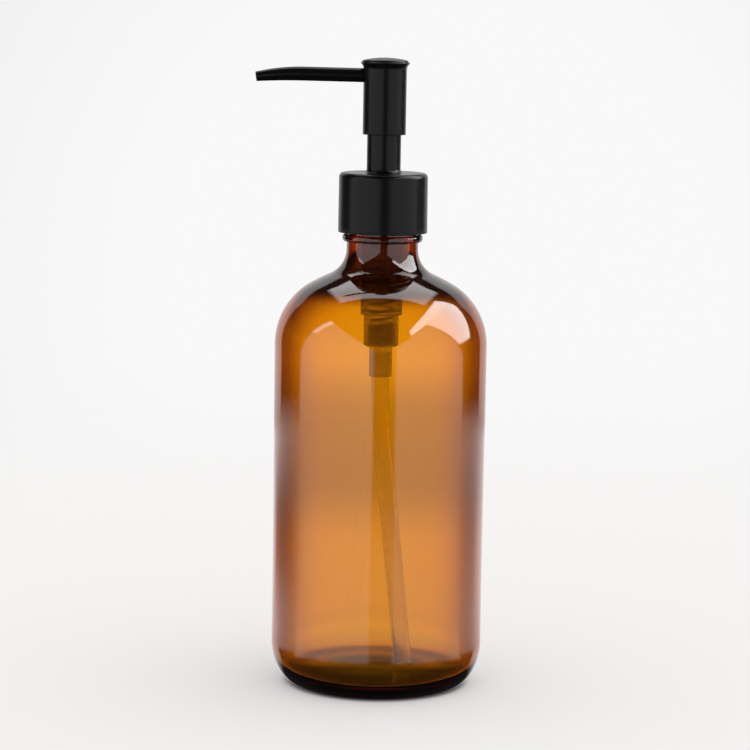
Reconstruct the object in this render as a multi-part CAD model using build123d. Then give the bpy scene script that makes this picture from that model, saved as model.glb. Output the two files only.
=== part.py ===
"""Soap pump dispenser: a round-shouldered amber glass bottle with a screw-on lotion pump.

Millimetres. The origin is on the bottle's axis, on the surface it stands on. +Z is up, and
the spout points along -X.
"""
from build123d import *
import math
import os

# ---------------------------------------------------------------- bottle
body_radius = 37.5
glass_height = 170.0
glass_wall = 2.3
heel_run = 9.0              # radial width of the rounded heel
heel_rise = 15.7
bearing_width = 2.4         # width of the ring that the bottle stands on
punt_depth = 1.6
floor_z = 4.8
inner_heel_run = 5.0
inner_heel_rise = 9.0
shoulder_radius = 24.75     # the rounder, outer arc of the shoulder
shoulder_turn = 61.0        # degrees turned by that arc
slope_radius = 82.6         # the flatter arc above it
neck_fillet = 9.8
neck_length = 14.8          # straight neck and finish, from the fillet to the lip
neck_bore_radius = 9.0
neck_wall = 3.6             # from the bore to the root of the thread
bead_stand = 1.55
bead_height = 2.5
bead_drop = 9.65            # from the lip down to the bead's top
lip_round = 0.8

# ---------------------------------------------------------------- thread, six to the inch
thread_pitch = 25.4 / 6
thread_depth = 1.1
glass_thread_turns = 1.15
glass_thread_drop = 6.8     # from the lip down to the thread's start
thread_gap = 0.25           # crest to wall
closure_crest_gap = 0.4     # closure ridge to the bottle's finish
thread_offset = 1.55        # how far the closure's ridge sits below the bottle's
closure_thread_start = 0.3  # turns after the start of the bottle's thread
closure_thread_turns = 1.2
ridge_root_width = 2.1
ridge_crest_width = 0.95
ridge_sink = 0.3            # how deep the ridge's root is in the wall

# ---------------------------------------------------------------- closure and collar
closure_wall = 1.3
closure_rim_step = 0.9      # the wall is this much thicker above the bulkhead
bulkhead = 1.4
bulkhead_hole_gap = 2.52    # round the chaplet
collar_sheet = 0.4
collar_height = 20.95
collar_bead_gap = 0.7       # from the bottle's bead up to the collar
collar_edge_round = 1.6
collar_foot_round = 1.3     # where the chimney rises from the collar's top
collar_draft = 0.1          # the collar is this much slimmer at its top
nest_gap = 0.05             # between pieces that are fixed to each other
slide_gap = 0.08            # between pieces that slide or turn in each other

# ---------------------------------------------------------------- pump below the collar
gasket_thickness = 1.2
gasket_gap = 0.3            # round the barrel
flange_thickness = 1.6
flange_inset = 0.1          # inside the thread's crest
chaplet_flange = 1.2
chaplet_rim_inset = 0.4     # inside the housing's flange
chaplet_sleeve_length = 6.8
chaplet_wall = 1.6
chaplet_lip = 0.4           # how far the collar's chimney stands above the chaplet's
seal_height = 1.4
barrel_neck_gap = 1.68      # from the barrel out to the bottle's neck bore
barrel_wall = 1.22
barrel_step_drop = 37.8     # lip down to the step between the two barrel diameters
barrel_step_width = 1.1     # the lower bore is this much smaller in radius
lower_wall = 1.15
lower_drop = 49.2           # lip down to the lower barrel's end
tail_drop = 59.9            # lip down to the tail's end
tail_wall = 0.85
tail_socket_depth = 8.4
seat_floor = 0.9            # thickness of the floor at the inlet seat
vent_radius = 0.75
vent_drop = 5.0             # lip down to the vent hole
piston_height = 6.3
piston_lip = 0.95
piston_chamfer = 0.4
piston_side_gap = 0.15      # round the core's spigot
piston_chamber_step = 0.85  # the chamber is this much wider than the bore above it
piston_chamber_depth = 2.1
piston_web = 1.0            # how far the piston's waist is inside its lips
core_seat_share = 0.58      # of the piston's lower face that the core's flange covers
core_flange_height = 1.6
core_spigot_wall = 0.95
core_spigot_length = 11.0
core_floor = 0.5            # of the bore, above the flange
core_port_radius = 0.7
core_port_rise = 0.2        # from the bore's floor up to the port
rest_gap = 1.2              # from the piston at rest up to the stem seal
inlet_ball_radius = 2.25
ball_side_gap = 0.4         # round each ball in its cage
inlet_seat_overlap = 0.5    # of the ball over the rim of its hole
outlet_seat_overlap = 0.4
ball_lift = 1.2
lift_margin = 0.1           # spare height above a lifted ball
ball_seat_gap = 0.02
cage_roof = 1.5
cage_window_radius = 0.9
spring_wire_radius = 0.4
spring_side_gap = 0.5       # inside the lower bore
spring_coils = 9

# ---------------------------------------------------------------- stem and head
stem_radius = 3.8
stem_wall = 1.6
stem_cup_wall = 1.5         # round the outlet ball
stem_seat_length = 1.5
press_travel = 11.5
landing_gap = 1.8           # skirt above the collar at the bottom of the stroke
chimney_cover = 1.7         # how far the skirt covers the chimney at rest
cavity_margin = 0.5
socket_depth = 5.0
head_gap = 0.4              # chimney to head, all round
insert_wall = 0.65
sleeve_wall = 0.5
sleeve_drop = 0.5           # the sleeve hangs this far below its core
flare_radius = 3.0
flare_turn = 47.7           # degrees
flare_rise = 1.95           # from the spout's axis up to the start of the flare
core_rise = 3.4             # from the spout's axis up to the core's top
cap_edge_round = 0.77
dome_radius = 33.0
head_rise = 6.3             # from the spout's axis up to the top of the dome

# ---------------------------------------------------------------- spout
spout_radius = 2.46
spout_tip_radius = 1.68
spout_wall = 0.5
spout_reach = 45.1
spout_root = 4.6            # start of the tube, from the axis
spout_bend_start = 28.0
spout_bend_radius = 105.0
spout_rise_angle = 0.6
spout_stations = 9
liner_wall = 0.35
liner_recess = 0.8          # the liner stops this far inside the tip
channel_floor = 0.5         # from the stem's top up to the channel
channel_inset = 0.6         # the head's channel is this much smaller than the outlet ball
bypass_groove = 0.8

# ---------------------------------------------------------------- dip tube
tube_radius = 3.175
tube_bore_radius = 2.25
tube_gap = 0.025
tube_bend_radius = 250.0
tube_bend = 6.2             # degrees
tube_floor_gap = 1.7
tube_mouth_depth = 0.8

# ---------------------------------------------------------------- worked out from the above
neck_start = glass_height - neck_length
bead_top = glass_height - bead_drop
finish_radius = neck_bore_radius + neck_wall
crest_radius = finish_radius + thread_depth
closure_bore_radius = crest_radius + thread_gap
closure_radius = closure_bore_radius + closure_wall
collar_bottom = bead_top + collar_bead_gap
collar_top = collar_bottom + collar_height
collar_inner_radius = closure_radius + nest_gap
collar_radius = collar_inner_radius + collar_sheet
gasket_top = glass_height + gasket_thickness
flange_top = gasket_top + flange_thickness
chaplet_top = flange_top + chaplet_flange
flange_radius = crest_radius - flange_inset
chaplet_bore_radius = stem_radius + slide_gap
chaplet_radius = chaplet_bore_radius + chaplet_wall
bulkhead_hole_radius = chaplet_radius + bulkhead_hole_gap
chimney_bore_radius = chaplet_radius + slide_gap
chimney_radius = chimney_bore_radius + collar_sheet
skirt_bottom = collar_top + press_travel + landing_gap
chimney_top = skirt_bottom + chimney_cover
barrel_radius = neck_bore_radius - barrel_neck_gap
barrel_bore_radius = barrel_radius - barrel_wall
barrel_step = glass_height - barrel_step_drop
lower_bore_radius = barrel_bore_radius - barrel_step_width
lower_radius = lower_bore_radius + lower_wall
lower_end = glass_height - lower_drop
tail_end = glass_height - tail_drop
tail_bore_radius = tube_radius + tube_gap
tail_radius = tail_bore_radius + tail_wall
lower_round = min(1.0, (lower_radius - tail_radius) / 2)
inlet_hole_radius = inlet_ball_radius - inlet_seat_overlap
seat_z = lower_end + seat_floor
cage_bottom = seat_z + nest_gap
inlet_ball_z = seat_z + math.sqrt(inlet_ball_radius**2 - inlet_hole_radius**2) + ball_seat_gap
cage_ceiling = inlet_ball_z + inlet_ball_radius + ball_lift + lift_margin
cage_top = cage_ceiling + cage_roof
seal_bottom = flange_top - chaplet_sleeve_length - seal_height
piston_top = seal_bottom - rest_gap
piston_bottom = piston_top - piston_height
core_top = piston_bottom - nest_gap
core_bottom = core_top - core_flange_height
stem_bottom = piston_top + slide_gap
stem_bore_radius = stem_radius - stem_wall
core_spigot_radius = stem_bore_radius - nest_gap
piston_radius = barrel_bore_radius - nest_gap
piston_bore_radius = core_spigot_radius + piston_side_gap
piston_chamber_radius = piston_bore_radius + piston_chamber_step
piston_face = piston_radius - piston_chamfer - piston_chamber_radius
core_flange_radius = piston_chamber_radius + piston_face * core_seat_share
stem_cup_radius = stem_radius - stem_cup_wall
outlet_ball_radius = stem_cup_radius - ball_side_gap
outlet_seat_radius = outlet_ball_radius - outlet_seat_overlap
channel_radius = outlet_ball_radius - channel_inset
cavity_top = chimney_top + press_travel + cavity_margin
stem_top = cavity_top + socket_depth
insert_bore_radius = chimney_radius + head_gap
insert_radius = insert_bore_radius + insert_wall
insert_bottom = skirt_bottom + sleeve_drop
sleeve_inner_radius = insert_radius + nest_gap
sleeve_radius = sleeve_inner_radius + sleeve_wall
spout_z = stem_top + channel_radius + channel_floor
insert_top = spout_z + core_rise
flare_start = spout_z + flare_rise
flare_centre_radius = sleeve_radius + flare_radius
head_top = spout_z + head_rise
riser_bottom = stem_top + nest_gap
outlet_ball_reach = math.sqrt(outlet_ball_radius**2 - channel_radius**2)
outlet_ball_z = riser_bottom - outlet_ball_reach - lift_margin - ball_lift
outlet_seat_stand = math.sqrt(outlet_ball_radius**2 - outlet_seat_radius**2) + ball_seat_gap
outlet_seat_z = outlet_ball_z - outlet_seat_stand
spring_mean_radius = lower_bore_radius - spring_side_gap - spring_wire_radius
spring_bottom = cage_top
spring_top = core_bottom


def turned(*corners):
    """Revolve a closed outline of (radius, height) or (radius, height, rounding) corners."""
    points = [corner[:2] for corner in corners]
    roundings = [corner[2] if len(corner) > 2 else 0 for corner in corners]
    outline = FilletPolyline(*points, radius=roundings, close=True)
    return revolve(Plane.XZ * make_face(outline.edges()), Axis.Z)


def turned_edges(edges):
    """Revolve an outline that is given as edges in (radius, height)."""
    return revolve(Plane.XZ * make_face(edges), Axis.Z)


def bar(radius, bottom, top):
    """An upright cylinder on the axis."""
    return Pos(0, 0, bottom) * extrude(Circle(radius), top - bottom)


def cross_bar(radius, start_x, end_x, z):
    """A cylinder along X at a height."""
    return Pos(start_x, 0, z) * extrude(Plane.YZ * Circle(radius), end_x - start_x)


# ---------------------------------------------------------------- bottle
def shoulder_centres(inset, fillet):
    """Centres, below the neck's start, of the slope arc and neck fillet of an inset wall."""
    turn = math.radians(shoulder_turn)
    difference = slope_radius - shoulder_radius
    slope_r = body_radius - shoulder_radius - difference * math.cos(turn)
    slope_z = -difference * math.sin(turn)
    fillet_r = finish_radius + neck_fillet
    reach = slope_radius - inset + fillet
    fillet_z = slope_z + math.sqrt(reach**2 - (fillet_r - slope_r) ** 2)
    return slope_r, slope_z, fillet_r, fillet_z


def side_top():
    """Height where the bottle's straight side ends and its shoulder begins."""
    return neck_start - shoulder_centres(0, neck_fillet)[3]


def shoulder_edges(inset, neck_radius):
    """Side, shoulder, slope and neck fillet of a wall that is inset from the outer surface."""
    fillet = neck_fillet + finish_radius - neck_radius
    slope_r, slope_z, fillet_r, fillet_z = shoulder_centres(inset, fillet)
    base = side_top()
    slope_end = math.degrees(math.atan2(fillet_z - slope_z, fillet_r - slope_r))
    shoulder = CenterArc(
        (body_radius - shoulder_radius, base), shoulder_radius - inset, 0, shoulder_turn
    )
    slope = CenterArc(
        (slope_r, base + slope_z), slope_radius - inset, shoulder_turn, slope_end - shoulder_turn
    )
    neck = CenterArc((fillet_r, base + fillet_z), fillet, 180 + slope_end, -slope_end)
    return [shoulder, slope, neck]


def heel_edge(radius, floor, run, rise):
    """Quarter of an ellipse from the floor up to a wall of a radius."""
    return EllipticalCenterArc((radius - run, floor + rise), run, rise, -90, arc_size=90)


def glass_outside():
    """The bottle's outer surface as a solid, up to its lip."""
    bearing_outer = body_radius - heel_run
    bearing_inner = bearing_outer - bearing_width
    wall = shoulder_edges(0, finish_radius)
    heel = heel_edge(body_radius, 0, heel_run, heel_rise)
    neck_end = (finish_radius, neck_start)
    lip_low = (finish_radius, glass_height - lip_round)
    lip_top = (finish_radius - lip_round, glass_height)
    punt = ThreePointArc(
        (0, punt_depth), (bearing_inner * 0.5, punt_depth * 0.75), (bearing_inner, 0)
    )
    edges = [
        punt,
        Line((bearing_inner, 0), (bearing_outer, 0)),
        heel,
        Line((body_radius, heel_rise), (body_radius, side_top())),
        *wall,
        Line(neck_end, lip_low),
        CenterArc((lip_top[0], lip_low[1]), lip_round, 0, 90),
        Line(lip_top, (0, glass_height)),
        Line((0, glass_height), (0, punt_depth)),
    ]
    return turned_edges(edges)


def glass_inside():
    """The space inside the bottle, from its floor to its mouth."""
    radius = body_radius - glass_wall
    bore = neck_bore_radius
    wall = shoulder_edges(glass_wall, bore)
    bore_start = wall[-1] @ 1
    heel_top = floor_z + inner_heel_rise
    edges = [
        Line((0, floor_z), (radius - inner_heel_run, floor_z)),
        heel_edge(radius, floor_z, inner_heel_run, inner_heel_rise),
        Line((radius, heel_top), (radius, side_top())),
        *wall,
        Line((bore, bore_start.Y), (bore, glass_height)),
        Line((bore, glass_height), (0, glass_height)),
        Line((0, glass_height), (0, floor_z)),
    ]
    return turned_edges(edges)


def thread_ridge(wall_radius, depth, start_z, start_turn, turns):
    """A right-handed ridge on a wall. A negative depth points it inwards."""
    path = Helix(thread_pitch, thread_pitch * turns, wall_radius, center=(0, 0, start_z))
    sink = -math.copysign(ridge_sink, depth)
    root = ridge_root_width / 2
    crest = ridge_crest_width / 2
    profile = Polyline(
        (sink, -root), (0, -root), (depth, -crest), (depth, crest), (0, root), (sink, root),
        close=True,
    )
    plane = Plane(origin=path @ 0, x_dir=(1, 0, 0), z_dir=path % 0)
    ridge = sweep(plane * make_face(profile.edges()), path=path, is_frenet=True)
    return Rot(0, 0, 360 * start_turn) * ridge


def make_bottle():
    bead = turned(
        (finish_radius - 1, bead_top - bead_height),
        (finish_radius + bead_stand, bead_top - bead_height, 0.9),
        (finish_radius + bead_stand, bead_top, 0.9),
        (finish_radius - 1, bead_top),
    )
    thread = thread_ridge(
        finish_radius, thread_depth, glass_height - glass_thread_drop, 0, glass_thread_turns
    )
    return glass_outside() + bead - glass_inside() + thread


# ---------------------------------------------------------------- closure
def make_closure_cap():
    upper_wall = closure_bore_radius - closure_rim_step
    bottom = collar_bottom + collar_sheet
    top = collar_top - collar_sheet - nest_gap
    underside = chaplet_top + nest_gap
    shell = turned(
        (closure_bore_radius, bottom),
        (closure_radius, bottom),
        (closure_radius - collar_draft, top, collar_edge_round - collar_sheet),
        (upper_wall, top),
        (upper_wall, underside + bulkhead),
        (bulkhead_hole_radius, underside + bulkhead),
        (bulkhead_hole_radius, underside),
        (closure_bore_radius, underside),
    )
    start_z = (
        glass_height - glass_thread_drop - thread_offset + thread_pitch * closure_thread_start
    )
    depth = closure_crest_gap - thread_depth - thread_gap
    ridge = thread_ridge(
        closure_bore_radius, depth, start_z, closure_thread_start, closure_thread_turns
    )
    return shell + ridge


def make_collar_shell():
    inner_round = collar_edge_round - collar_sheet
    underside = collar_top - collar_sheet
    return turned(
        (collar_inner_radius, collar_bottom),
        (collar_radius, collar_bottom, 0.15),
        (collar_radius - collar_draft, collar_top, collar_edge_round),
        (chimney_radius, collar_top, collar_foot_round),
        (chimney_radius, chimney_top, 0.15),
        (chimney_bore_radius, chimney_top),
        (chimney_bore_radius, underside),
        (collar_inner_radius - collar_draft, underside, inner_round),
    )


def make_bottle_gasket():
    return turned(
        (barrel_radius + gasket_gap, glass_height),
        (flange_radius, glass_height),
        (flange_radius, gasket_top),
        (barrel_radius + gasket_gap, gasket_top),
    )


# ---------------------------------------------------------------- pump body
def make_pump_housing():
    socket_top = tail_end + tail_socket_depth
    body = turned(
        (0, tail_end),
        (tail_radius, tail_end, 0.3),
        (tail_radius, lower_end),
        (lower_radius, lower_end, lower_round),
        (lower_radius, barrel_step, 0.3),
        (barrel_radius, barrel_step, 0.6),
        (barrel_radius, gasket_top),
        (flange_radius, gasket_top),
        (flange_radius, flange_top),
        (0, flange_top),
    )
    bore = turned(
        (0, seat_z),
        (lower_bore_radius, seat_z),
        (lower_bore_radius, barrel_step + barrel_wall),
        (barrel_bore_radius, barrel_step + barrel_wall + 0.8),
        (barrel_bore_radius, flange_top),
        (0, flange_top),
    )
    socket = bar(tail_bore_radius, tail_end, socket_top)
    inlet = bar(inlet_hole_radius, socket_top, seat_z)
    vent = Pos(0, 0, glass_height - vent_drop) * extrude(
        Plane.XZ * Circle(vent_radius), -barrel_radius - 1
    )
    return body - bore - socket - inlet - vent


def make_chaplet():
    plug_radius = barrel_bore_radius - nest_gap
    rim_radius = flange_radius - chaplet_rim_inset
    return turned(
        (chaplet_bore_radius, flange_top - chaplet_sleeve_length),
        (plug_radius, flange_top - chaplet_sleeve_length, 0.3),
        (plug_radius, flange_top),
        (rim_radius, flange_top),
        (rim_radius, chaplet_top),
        (chaplet_radius, chaplet_top, 0.4),
        (chaplet_radius, chimney_top - chaplet_lip, 0.3),
        (chaplet_bore_radius, chimney_top - chaplet_lip),
    )


def make_stem_seal():
    outer = barrel_bore_radius - nest_gap
    inner = stem_radius + slide_gap / 4
    top = flange_top - chaplet_sleeve_length
    return turned(
        (inner, seal_bottom + 0.5),
        (inner + 0.5, seal_bottom),
        (outer, seal_bottom),
        (outer, top),
        (inner, top),
    )


def make_ball_cage():
    cage = bar(lower_bore_radius - nest_gap, cage_bottom, cage_top)
    ball_space = bar(inlet_ball_radius + ball_side_gap, cage_bottom, cage_ceiling)
    windows = [
        location * Pos(0, 0, cage_ceiling) * extrude(Circle(cage_window_radius), cage_roof)
        for location in PolarLocations(inlet_ball_radius - 0.35, 4)
    ]
    return cage - ball_space - windows


def make_return_spring():
    height = spring_top - spring_bottom - 2 * spring_wire_radius
    start = (0, 0, spring_bottom + spring_wire_radius)
    path = Helix(height / spring_coils, height, spring_mean_radius, center=start)
    plane = Plane(origin=path @ 0, x_dir=(1, 0, 0), z_dir=path % 0)
    return sweep(plane * Circle(spring_wire_radius), path=path, is_frenet=True)


def make_dip_tube():
    top = tail_end + tail_socket_depth
    bend_centre = (-tube_bend_radius, tail_end)
    bend = CenterArc(bend_centre, tube_bend_radius, 0, -tube_bend)
    slope = math.tan(math.radians(tube_bend))
    bend_end = bend @ 1
    low_z = floor_z + tube_floor_gap
    # the bend is drawn towards -X and turned over, so the tube leans towards +X
    low = (bend_end.X - (bend_end.Y - low_z) * slope, low_z)
    route = Wire([Line((0, top), (0, tail_end)), bend, Line(bend_end, low)])
    route = mirror(Plane.XZ * route, about=Plane.YZ)
    ring = Circle(tube_radius) - Circle(tube_bore_radius)
    tube = sweep(Plane(origin=(0, 0, top), z_dir=(0, 0, -1)) * ring, path=route)
    mouth = (tube_radius**2 + tube_mouth_depth**2) / (2 * tube_mouth_depth)
    mouth_z = low_z + tube_mouth_depth - mouth
    cutter = Cylinder(mouth, tube_radius * 4, rotation=(90, 0, 0))
    trim = Pos(-low[0], 0, low_z - tube_radius) * Box(
        tube_radius * 4, tube_radius * 4, tube_radius * 2
    )
    return tube - trim - Pos(-low[0], 0, mouth_z) * cutter


# ---------------------------------------------------------------- moving pump pieces
def make_piston():
    waist = piston_radius - piston_web
    chamfer_height = 0.25
    return turned(
        (piston_chamber_radius, piston_bottom),
        (piston_radius - piston_chamfer, piston_bottom),
        (piston_radius, piston_bottom + chamfer_height),
        (piston_radius, piston_bottom + piston_lip),
        (waist, piston_bottom + 2 * piston_lip),
        (waist, piston_top - 2 * piston_lip),
        (piston_radius, piston_top - piston_lip),
        (piston_radius, piston_top - chamfer_height),
        (piston_radius - piston_chamfer, piston_top),
        (piston_bore_radius, piston_top),
        (piston_bore_radius, piston_bottom + piston_chamber_depth),
        (piston_chamber_radius, piston_bottom + piston_chamber_depth),
    )


def make_valve_core():
    core = turned(
        (0, core_bottom),
        (core_flange_radius, core_bottom, 0.3),
        (core_flange_radius, core_top, 0.3),
        (core_spigot_radius, core_top),
        (core_spigot_radius, core_top + core_spigot_length, 0.3),
        (0, core_top + core_spigot_length),
    )
    bore_radius = core_spigot_radius - core_spigot_wall
    bore = bar(bore_radius, core_top + core_floor, core_top + core_spigot_length)
    port_z = core_top + core_floor + core_port_rise + core_port_radius
    port = cross_bar(core_port_radius, -core_spigot_radius, core_spigot_radius, port_z)
    return core - bore - port


def make_stem():
    return turned(
        (stem_bore_radius, stem_bottom),
        (stem_radius, stem_bottom, 0.3),
        (stem_radius, stem_top, 0.3),
        (stem_cup_radius, stem_top),
        (stem_cup_radius, outlet_seat_z),
        (outlet_seat_radius, outlet_seat_z),
        (outlet_seat_radius, outlet_seat_z - stem_seat_length),
        (stem_bore_radius, outlet_seat_z - stem_seat_length),
    )


# ---------------------------------------------------------------- head
def make_actuator_insert():
    socket_radius = stem_radius + nest_gap / 2
    core = turned(
        (insert_bore_radius, insert_bottom),
        (insert_radius, insert_bottom, 0.2),
        (insert_radius, insert_top, 0.3),
        (0, insert_top),
        (0, riser_bottom),
        (socket_radius, riser_bottom),
        (socket_radius, cavity_top),
        (insert_bore_radius, cavity_top, 0.5),
    )
    riser = bar(channel_radius, riser_bottom, spout_z)
    # grooves across the ceiling let soap pass round the lifted ball
    groove_span = 2 * outlet_ball_radius + bypass_groove
    groove_z = riser_bottom + bypass_groove / 2
    groove = Pos(0, 0, groove_z) * Box(groove_span, bypass_groove, bypass_groove)
    cross_groove = Pos(0, 0, groove_z) * Box(bypass_groove, groove_span, bypass_groove)
    channel = cross_bar(channel_radius, -spout_root, 0, spout_z)
    return core - riser - groove - cross_groove - channel - spout_hole()


def flare_arc(radius):
    """The flare, drawn about its centre outside the sleeve, from upright to the lip."""
    return CenterArc((flare_centre_radius, flare_start), radius, 180, -flare_turn)


def make_head_sleeve():
    outer = flare_arc(flare_radius)
    inner = flare_arc(flare_radius + sleeve_wall)
    lip_direction = math.radians(90 - flare_turn)
    bulge = sleeve_wall / 2
    middle = (outer @ 1 + inner @ 1) / 2
    crown = middle + Vector(math.cos(lip_direction), math.sin(lip_direction)) * bulge
    edges = [
        Line((sleeve_inner_radius, skirt_bottom), (sleeve_radius, skirt_bottom)),
        Line((sleeve_radius, skirt_bottom), (sleeve_radius, flare_start)),
        outer,
        ThreePointArc(outer @ 1, crown, inner @ 1),
        inner,
        Line((sleeve_inner_radius, flare_start), (sleeve_inner_radius, skirt_bottom)),
    ]
    sleeve = turned_edges(edges)
    return sleeve - spout_hole()


def make_head_cap():
    seat = flare_arc(flare_radius + sleeve_wall + nest_gap)
    seat_end = seat @ 1
    edge_radius = seat_end.X
    bottom = insert_top + nest_gap
    seat_start_r = flare_centre_radius - math.sqrt(seat.radius**2 - (bottom - flare_start) ** 2)
    seat_start_angle = math.degrees(
        math.atan2(bottom - flare_start, seat_start_r - flare_centre_radius)
    )
    seat_used = CenterArc(
        (flare_centre_radius, flare_start),
        seat.radius,
        seat_start_angle,
        180 - flare_turn - seat_start_angle,
    )
    dome_z = head_top - dome_radius
    round_r = edge_radius - cap_edge_round
    round_z = dome_z + math.sqrt((dome_radius - cap_edge_round) ** 2 - round_r**2)
    round_angle = math.degrees(math.atan2(round_z - dome_z, round_r))
    edges = [
        Line((0, bottom), (seat_start_r, bottom)),
        seat_used,
        Line(seat_end, (edge_radius, round_z)),
        CenterArc((round_r, round_z), cap_edge_round, 0, round_angle),
        CenterArc((0, dome_z), dome_radius, round_angle, 90 - round_angle),
        Line((0, head_top), (0, bottom)),
    ]
    return turned_edges(edges)


# ---------------------------------------------------------------- spout
def spout_route(root):
    """Centre line of the spout: a slight rise from the head, then one long droop."""
    rise = math.radians(spout_rise_angle)
    start = (-root, spout_z)
    knee_x = -spout_bend_start
    knee = (knee_x, spout_z + (spout_bend_start - root) * math.tan(rise))
    droop = math.asin((spout_reach - spout_bend_start) / spout_bend_radius - math.sin(rise))
    centre_x = knee_x - spout_bend_radius * math.sin(rise)
    centre_z = knee[1] - spout_bend_radius * math.cos(rise)
    start_angle = 90 - spout_rise_angle
    turn = spout_rise_angle + math.degrees(droop)
    bend = CenterArc((centre_x, centre_z), spout_bend_radius, start_angle, turn)
    return Plane.XZ * Wire([Line(start, knee), bend])


def outer_radius_at(x):
    """Outer radius of the spout: even to the knee, then narrowing to the tip."""
    past_knee = max(0, -x - spout_bend_start) / (spout_reach - spout_bend_start)
    return spout_radius - (spout_radius - spout_tip_radius) * past_knee**2


def spout_solid(route, end, inset):
    """A tube along a route up to an end fraction, inset from the spout's outer surface."""
    circles = []
    for station in range(spout_stations):
        along = end * station / (spout_stations - 1)
        place = route @ along
        plane = Plane(origin=place, x_dir=(0, 1, 0), z_dir=route % along)
        circles.append(plane * Circle(outer_radius_at(place.X) - inset))
    return loft(circles)


def spout_hole():
    """What the spout needs cut from the head."""
    return spout_solid(spout_route(spout_root), 1, -nest_gap)


def make_spout():
    route = spout_route(spout_root)
    return spout_solid(route, 1, 0) - spout_solid(route, 1, spout_wall)


def make_spout_liner():
    route = spout_route(spout_root)
    end = 1 - liner_recess / route.length
    outer = spout_solid(route, end, spout_wall + nest_gap)
    inner = spout_solid(route, end, spout_wall + nest_gap + liner_wall)
    return outer - inner


# ---------------------------------------------------------------- write every sub-part
pieces = {
    "bottle": make_bottle(),
    "closure_cap": make_closure_cap(),
    "collar_shell": make_collar_shell(),
    "bottle_gasket": make_bottle_gasket(),
    "pump_housing": make_pump_housing(),
    "chaplet": make_chaplet(),
    "stem_seal": make_stem_seal(),
    "return_spring": make_return_spring(),
    "ball_cage": make_ball_cage(),
    "inlet_check_ball": Pos(0, 0, inlet_ball_z) * Sphere(inlet_ball_radius),
    "dip_tube": make_dip_tube(),
    "piston": make_piston(),
    "valve_core": make_valve_core(),
    "stem": make_stem(),
    "outlet_check_ball": Pos(0, 0, outlet_ball_z) * Sphere(outlet_ball_radius),
    "actuator_insert": make_actuator_insert(),
    "head_sleeve": make_head_sleeve(),
    "head_cap": make_head_cap(),
    "spout": make_spout(),
    "spout_liner": make_spout_liner(),
}

os.makedirs("parts", exist_ok=True)
for name, shape in pieces.items():
    export_step(shape, f"parts/{name}.step")
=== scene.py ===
import math

import bpy
from mathutils import Matrix


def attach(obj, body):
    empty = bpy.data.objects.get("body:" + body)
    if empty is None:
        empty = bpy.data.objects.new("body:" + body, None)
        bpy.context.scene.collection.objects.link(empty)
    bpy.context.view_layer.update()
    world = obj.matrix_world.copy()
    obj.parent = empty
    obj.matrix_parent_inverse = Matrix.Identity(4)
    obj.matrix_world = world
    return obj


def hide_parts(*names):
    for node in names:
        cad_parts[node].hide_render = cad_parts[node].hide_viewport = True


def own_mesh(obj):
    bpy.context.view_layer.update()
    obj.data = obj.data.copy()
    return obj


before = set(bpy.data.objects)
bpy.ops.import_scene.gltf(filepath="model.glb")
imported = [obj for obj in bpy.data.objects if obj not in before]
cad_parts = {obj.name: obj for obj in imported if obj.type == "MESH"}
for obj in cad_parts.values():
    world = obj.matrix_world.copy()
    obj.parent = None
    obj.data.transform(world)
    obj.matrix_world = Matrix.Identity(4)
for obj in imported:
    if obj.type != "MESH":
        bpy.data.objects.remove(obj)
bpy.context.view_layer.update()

# ---------------------------------------------------------------- camera
# A long portrait lens just under a metre away, a little above the head of the pump
# and tipped down, so that the collar's top shows as a thin ellipse. It is held about
# a degree off level.
MM = 0.001
tip_down = math.radians(7.658)
off_level = math.radians(0.93)
aim = Matrix.Rotation(math.pi / 2 - tip_down, 3, "X") @ Matrix.Rotation(off_level, 3, "Z")
bpy.ops.object.select_all(action="DESELECT")
aside, away, height = -1.86, -952.7, 238.4
bpy.ops.object.camera_add(
    location=(aside * MM, away * MM, height * MM), rotation=aim.to_euler()
)
camera = bpy.context.active_object
camera.name = "portrait_camera"
camera.data.sensor_width = 36.0
camera.data.lens = 130.24
camera.data.clip_start = 0.05
bpy.context.scene.camera = camera

# ---------------------------------------------------------------- studio
# A white product studio: a white sweep behind, white boards low on both sides, a large
# softbox high on the right and one overhead. It is drawn on the world by direction, so
# it stays put when the bottle is seen from another side. Glass looks through to white.
bpy.context.scene.view_settings.view_transform = "Standard"
bpy.context.scene.cycles.use_denoising = True
bpy.context.scene.cycles.max_bounces = 24
bpy.context.scene.cycles.glossy_bounces = 12
bpy.context.scene.cycles.transmission_bounces = 24


def node(tree, kind, inputs=None, **settings):
    """Add a shader node with its own settings, and values or links for its inputs."""
    made = tree.nodes.new("ShaderNode" + kind)
    for name, value in settings.items():
        setattr(made, name, value)
    for name, value in (inputs or {}).items():
        if isinstance(value, bpy.types.NodeSocket):
            tree.links.new(value, made.inputs[name])
        else:
            made.inputs[name].default_value = value
    return made


def colour(code):
    """An sRGB hex colour as linear red, green, blue and alpha."""
    channels = [int(code[place : place + 2], 16) / 255 for place in (1, 3, 5)]
    linear = [c / 12.92 if c <= 0.04045 else ((c + 0.055) / 1.055) ** 2.4 for c in channels]
    return linear + [1.0]


world = bpy.data.worlds.new("white_studio")
bpy.context.scene.world = world
world.use_nodes = True
world.cycles.sampling_method = "NONE"
studio = world.node_tree
studio.nodes.clear()
direction = node(studio, "TexCoord").outputs["Generated"]


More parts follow.
